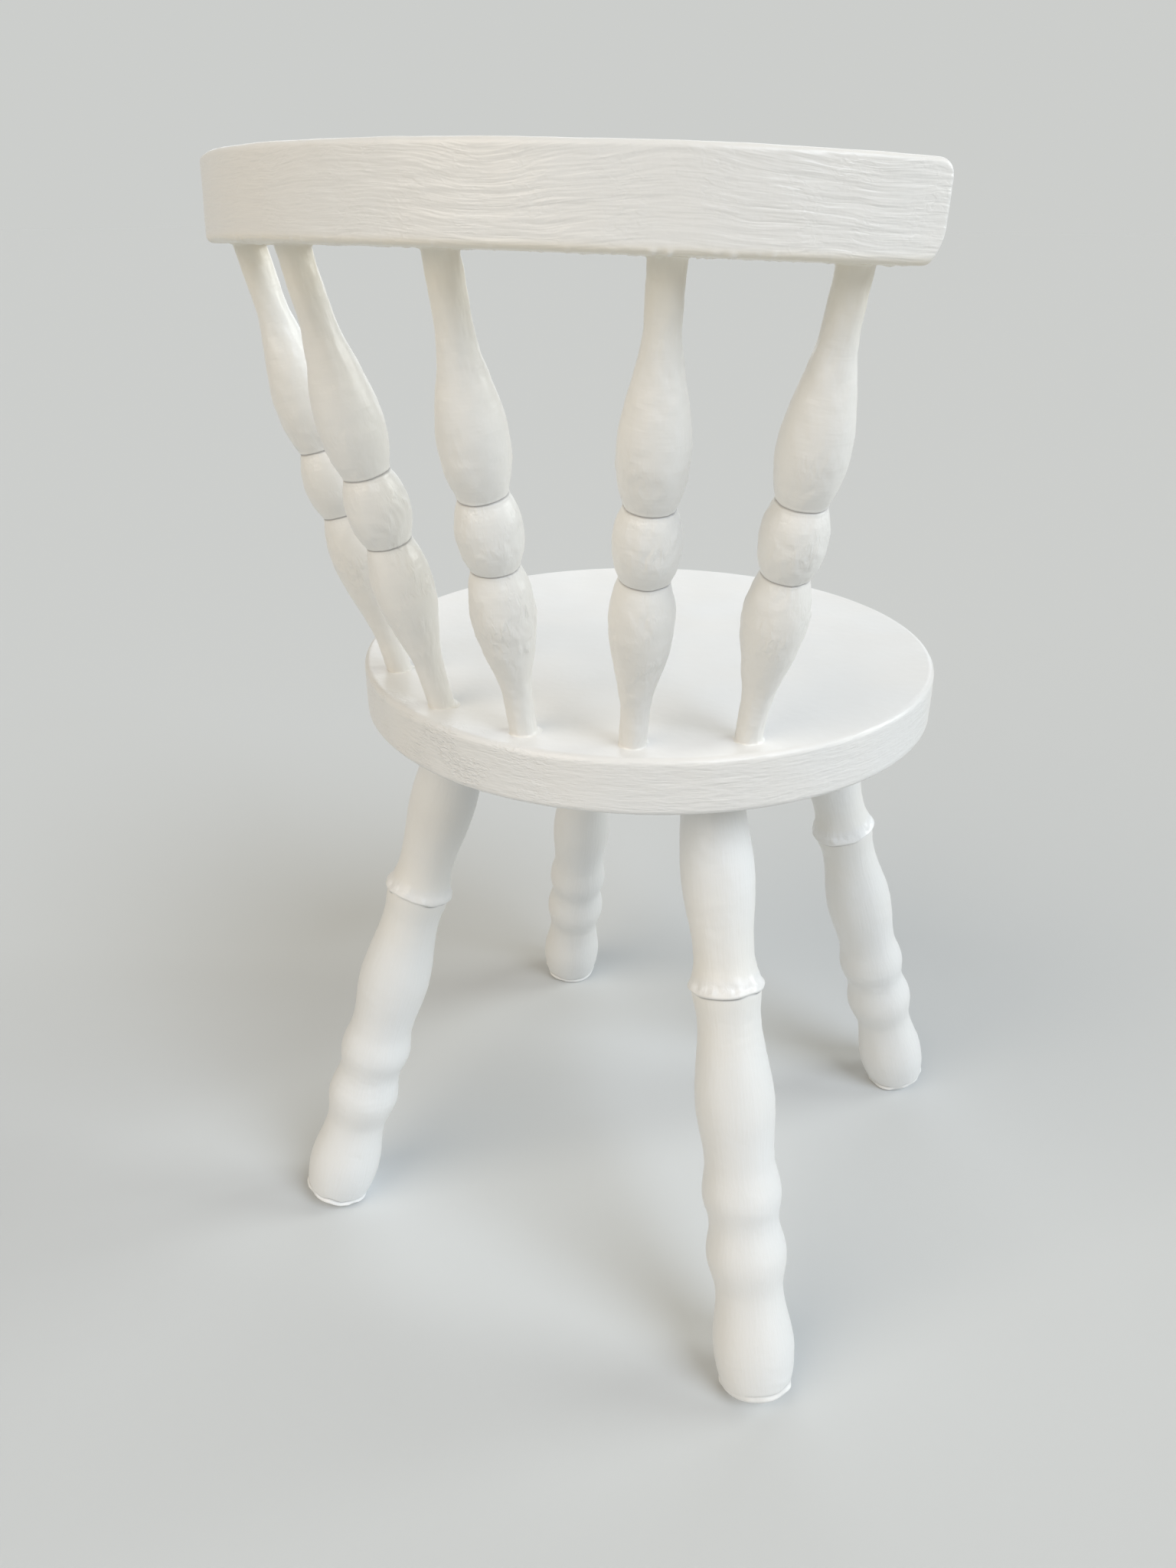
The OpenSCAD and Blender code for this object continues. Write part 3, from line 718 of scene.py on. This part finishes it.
def crest_rail():
    """The whole rail, as rings round its section from its left end to its right."""
    overrun = rail_overrun / rail_r
    left = math.radians(rail_bearings[0]) + overrun
    right = math.radians(rail_bearings[-1]) - overrun
    length = (left - right) * rail_r
    corner = end_reach * (1 - np.cos(np.linspace(0, math.pi / 2, end_rings)))
    straight = np.linspace(end_reach, length - end_reach, rail_rings)[1:-1]
    along = np.concatenate([corner, straight, length - corner[::-1]])
    rings = []
    for place in along:
        from_end = min(place, length - place)
        low = round_under(from_end)
        high = rail_h - corner_drop(from_end, end_corner)
        pull = corner_drop(from_end, rail_ease)
        rings.append(rail_section(rail_r - rail_t + pull, rail_r - pull, low, high, rail_ease))
    rings = np.array(rings)
    radius, height = rings[..., 0], rings[..., 1]
    arc = np.broadcast_to(along[:, None], radius.shape)

    # Push each point out or in along the section by the unevenness of the coat.
    middle = np.array([rail_r - rail_t / 2, rail_h / 2])
    outwards = np.stack([radius - middle[0], height - middle[1]], axis=-1)
    outwards = (outwards / (np.array([rail_t, rail_h]) / 2)) ** 5
    outwards /= np.maximum(np.linalg.norm(outwards, axis=-1, keepdims=True), 1e-9)
    place = np.stack([arc, radius - rail_r, height], axis=-1)
    grain = rail_ridge * unevenness(place * (0.12, 1, 1), 2.6 * millimetre, 5)
    lumps = rail_lump * unevenness(place, 8 * millimetre, 6)
    slow = rail_wander * unevenness(place, 40 * millimetre, 7)
    underside = np.clip(-outwards[..., 1], 0, 1)
    edge = np.exp(-((height - 0.6 * millimetre) / (1.3 * millimetre)) ** 2)
    beads = np.clip(unevenness(place * (1, 0.5, 0.5), 2.2 * millimetre, 8) - 0.5, 0, 1)
    push = (grain + lumps + slow) * (1 - 0.8 * underside) + edge * beads * bead_out
    radius = radius + push * outwards[..., 0]
    height = height + push * outwards[..., 1]

    # The grain rises to an arch in two places along the board, and wavers in between.
    rise = sum(lift * np.exp(-((arc - at) / wide) ** 2) for at, wide, lift in arches)
    waver = unevenness(place, 26 * millimetre, 9) * 1.3 * millimetre
    waver = waver + unevenness(place * (1, 1, 2), 9 * millimetre, 11) * 0.35 * millimetre
    lay = np.stack([arc, radius - rail_r, height - rise * (height / rail_h) - waver], axis=-1)
    face = np.abs(outwards[..., 0])
    # Along its underside the rail is tinted warm and darker, both as thin paint and as painted shade
    # under the rail. The drips on the lower edge are whitened as thick paint.
    marks = {
        "lay": lay,
        "wrinkled": 0.3 * face,
        "thin_coat_and_painted_light": 0.9 * np.exp(-(height / (2.5 * millimetre)) ** 2) - edge * beads,
        "crease": np.zeros(radius.shape),
        "brushed": 0.5 + 0.5 * face,
    }
    return skin("sawn_crest_rail", on_rail(radius, left - arc / rail_r, height), marks)


rail_finish = brushed_paint(
    "brushed_rail", (0.82, 0.803, 0.772), (75, 500, 1000), 0.22 * millimetre, 0.16 * millimetre,
    (300, 500, 620), 0.20 * millimetre)
finished(crest_rail(), rail_finish, "rail_paint", "crest_rail")

# ---- Where it stands ----
# A plain pale floor without an edge in sight. The light is soft and comes from four sides: cool
# from high on the sitter's right, warm from behind on the left, and low from right and front.

floor_size = 60.0
floor_colour = (0.65, 0.67, 0.68)
room_light = (0.15, 0.125, 0.08)
# The bearing that each lamp shines from (anticlockwise from +X), its height in degrees, its
# spread, and its strength in red, green and blue.
lamps = {
    "sky": (161, 42, 34, (1.34, 1.48, 1.67)),
    "window": (72, 36, 50, (1.41, 1.27, 1.09)),
    "low_right": (217, 24, 32, (1.24, 1.28, 1.25)),
    "low_front": (292, 20, 60, (0.66, 0.71, 0.77)),
}


def floor_sheet():
    """The floor, of one matt colour all over."""
    mesh = bpy.data.meshes.new("studio_floor")
    half = floor_size / 2
    corners = [(-half, -half, 0), (half, -half, 0), (half, half, 0), (-half, half, 0)]
    mesh.from_pydata(corners, [], [(0, 1, 2, 3)])
    sheet = bpy.data.objects.new("studio_floor", mesh)
    bpy.context.scene.collection.objects.link(sheet)
    material = bpy.data.materials.new("studio_floor")
    material.use_nodes = True
    shader = material.node_tree.nodes["Principled BSDF"]
    shader.inputs["Base Color"].default_value = (*floor_colour, 1)
    shader.inputs["Roughness"].default_value = 1.0
    shader.inputs["Specular IOR Level"].default_value = 0.0
    mesh.materials.append(material)


def lamp(name, bearing, height, spread, strength):
    """A far lamp. The wider its spread, the softer the shadows."""
    a, e = math.radians(bearing), math.radians(height)
    towards = -Vector((math.cos(a) * math.cos(e), math.sin(a) * math.cos(e), math.sin(e)))
    light = bpy.data.lights.new(name, "SUN")
    light.energy, light.angle = max(strength), math.radians(spread)
    light.color = [part / max(strength) for part in strength]
    holder = bpy.data.objects.new(name, light)
    holder.rotation_mode = "QUATERNION"
    holder.rotation_quaternion = towards.to_track_quat("-Z", "Y")
    bpy.context.scene.collection.objects.link(holder)


def room():
    """Weak light from all round. Seen directly or in a reflection, the room is the floor's colour."""
    falling = [
        room_light[k] + sum(
            strength[k] * math.sin(math.radians(height)) for _, height, _, strength in lamps.values()
        ) / math.pi
        for k in range(3)]
    shown = [c * light for c, light in zip(floor_colour, falling)]
    world = bpy.data.worlds.new("room")
    bpy.context.scene.world = world
    world.use_nodes = True
    wire = Wire(world.node_tree)
    background = world.node_tree.nodes["Background"]
    seen = wire.node("LightPath", {}, {}, "Is Camera Ray")
    for kind in ("Is Glossy Ray", "Is Transmission Ray"):
        seen = wire.math("MAXIMUM", seen, wire.node("LightPath", {}, {}, kind))
    colour = wire.mixed(seen, (*room_light, 1), (*shown, 1))
    world.node_tree.links.new(colour.socket, background.inputs["Color"])


floor_sheet()
for name, (bearing, height, spread, strength) in lamps.items():
    lamp(name, bearing, height, spread, strength)
room()

# ---- The camera ----
# It stands behind the chair, a little to the sitter's right, and looks down over the rail.

camera_azimuth, camera_elevation = 209.3, 26.08
camera_distance = 0.627
camera_lens, camera_film = 27.035, 36
camera_clip = 0.01
camera_target = Vector((0.0260, -0.0038, 0.2431))


def camera():
    lens = bpy.data.cameras.new("camera")
    lens.sensor_width = camera_film
    lens.lens = camera_lens
    lens.clip_start = camera_clip
    holder = bpy.data.objects.new("camera", lens)
    a, e = math.radians(camera_azimuth), math.radians(camera_elevation)
    back = Vector((math.sin(a) * math.cos(e), -math.cos(a) * math.cos(e), math.sin(e)))
    holder.location = camera_target + back * camera_distance
    holder.rotation_mode = "QUATERNION"
    holder.rotation_quaternion = (-back).to_track_quat("-Z", "Y")
    bpy.context.scene.collection.objects.link(holder)
    bpy.context.scene.camera = holder


camera()
bpy.context.scene.view_settings.view_transform = "Standard"

bpy.context.view_layer.update()
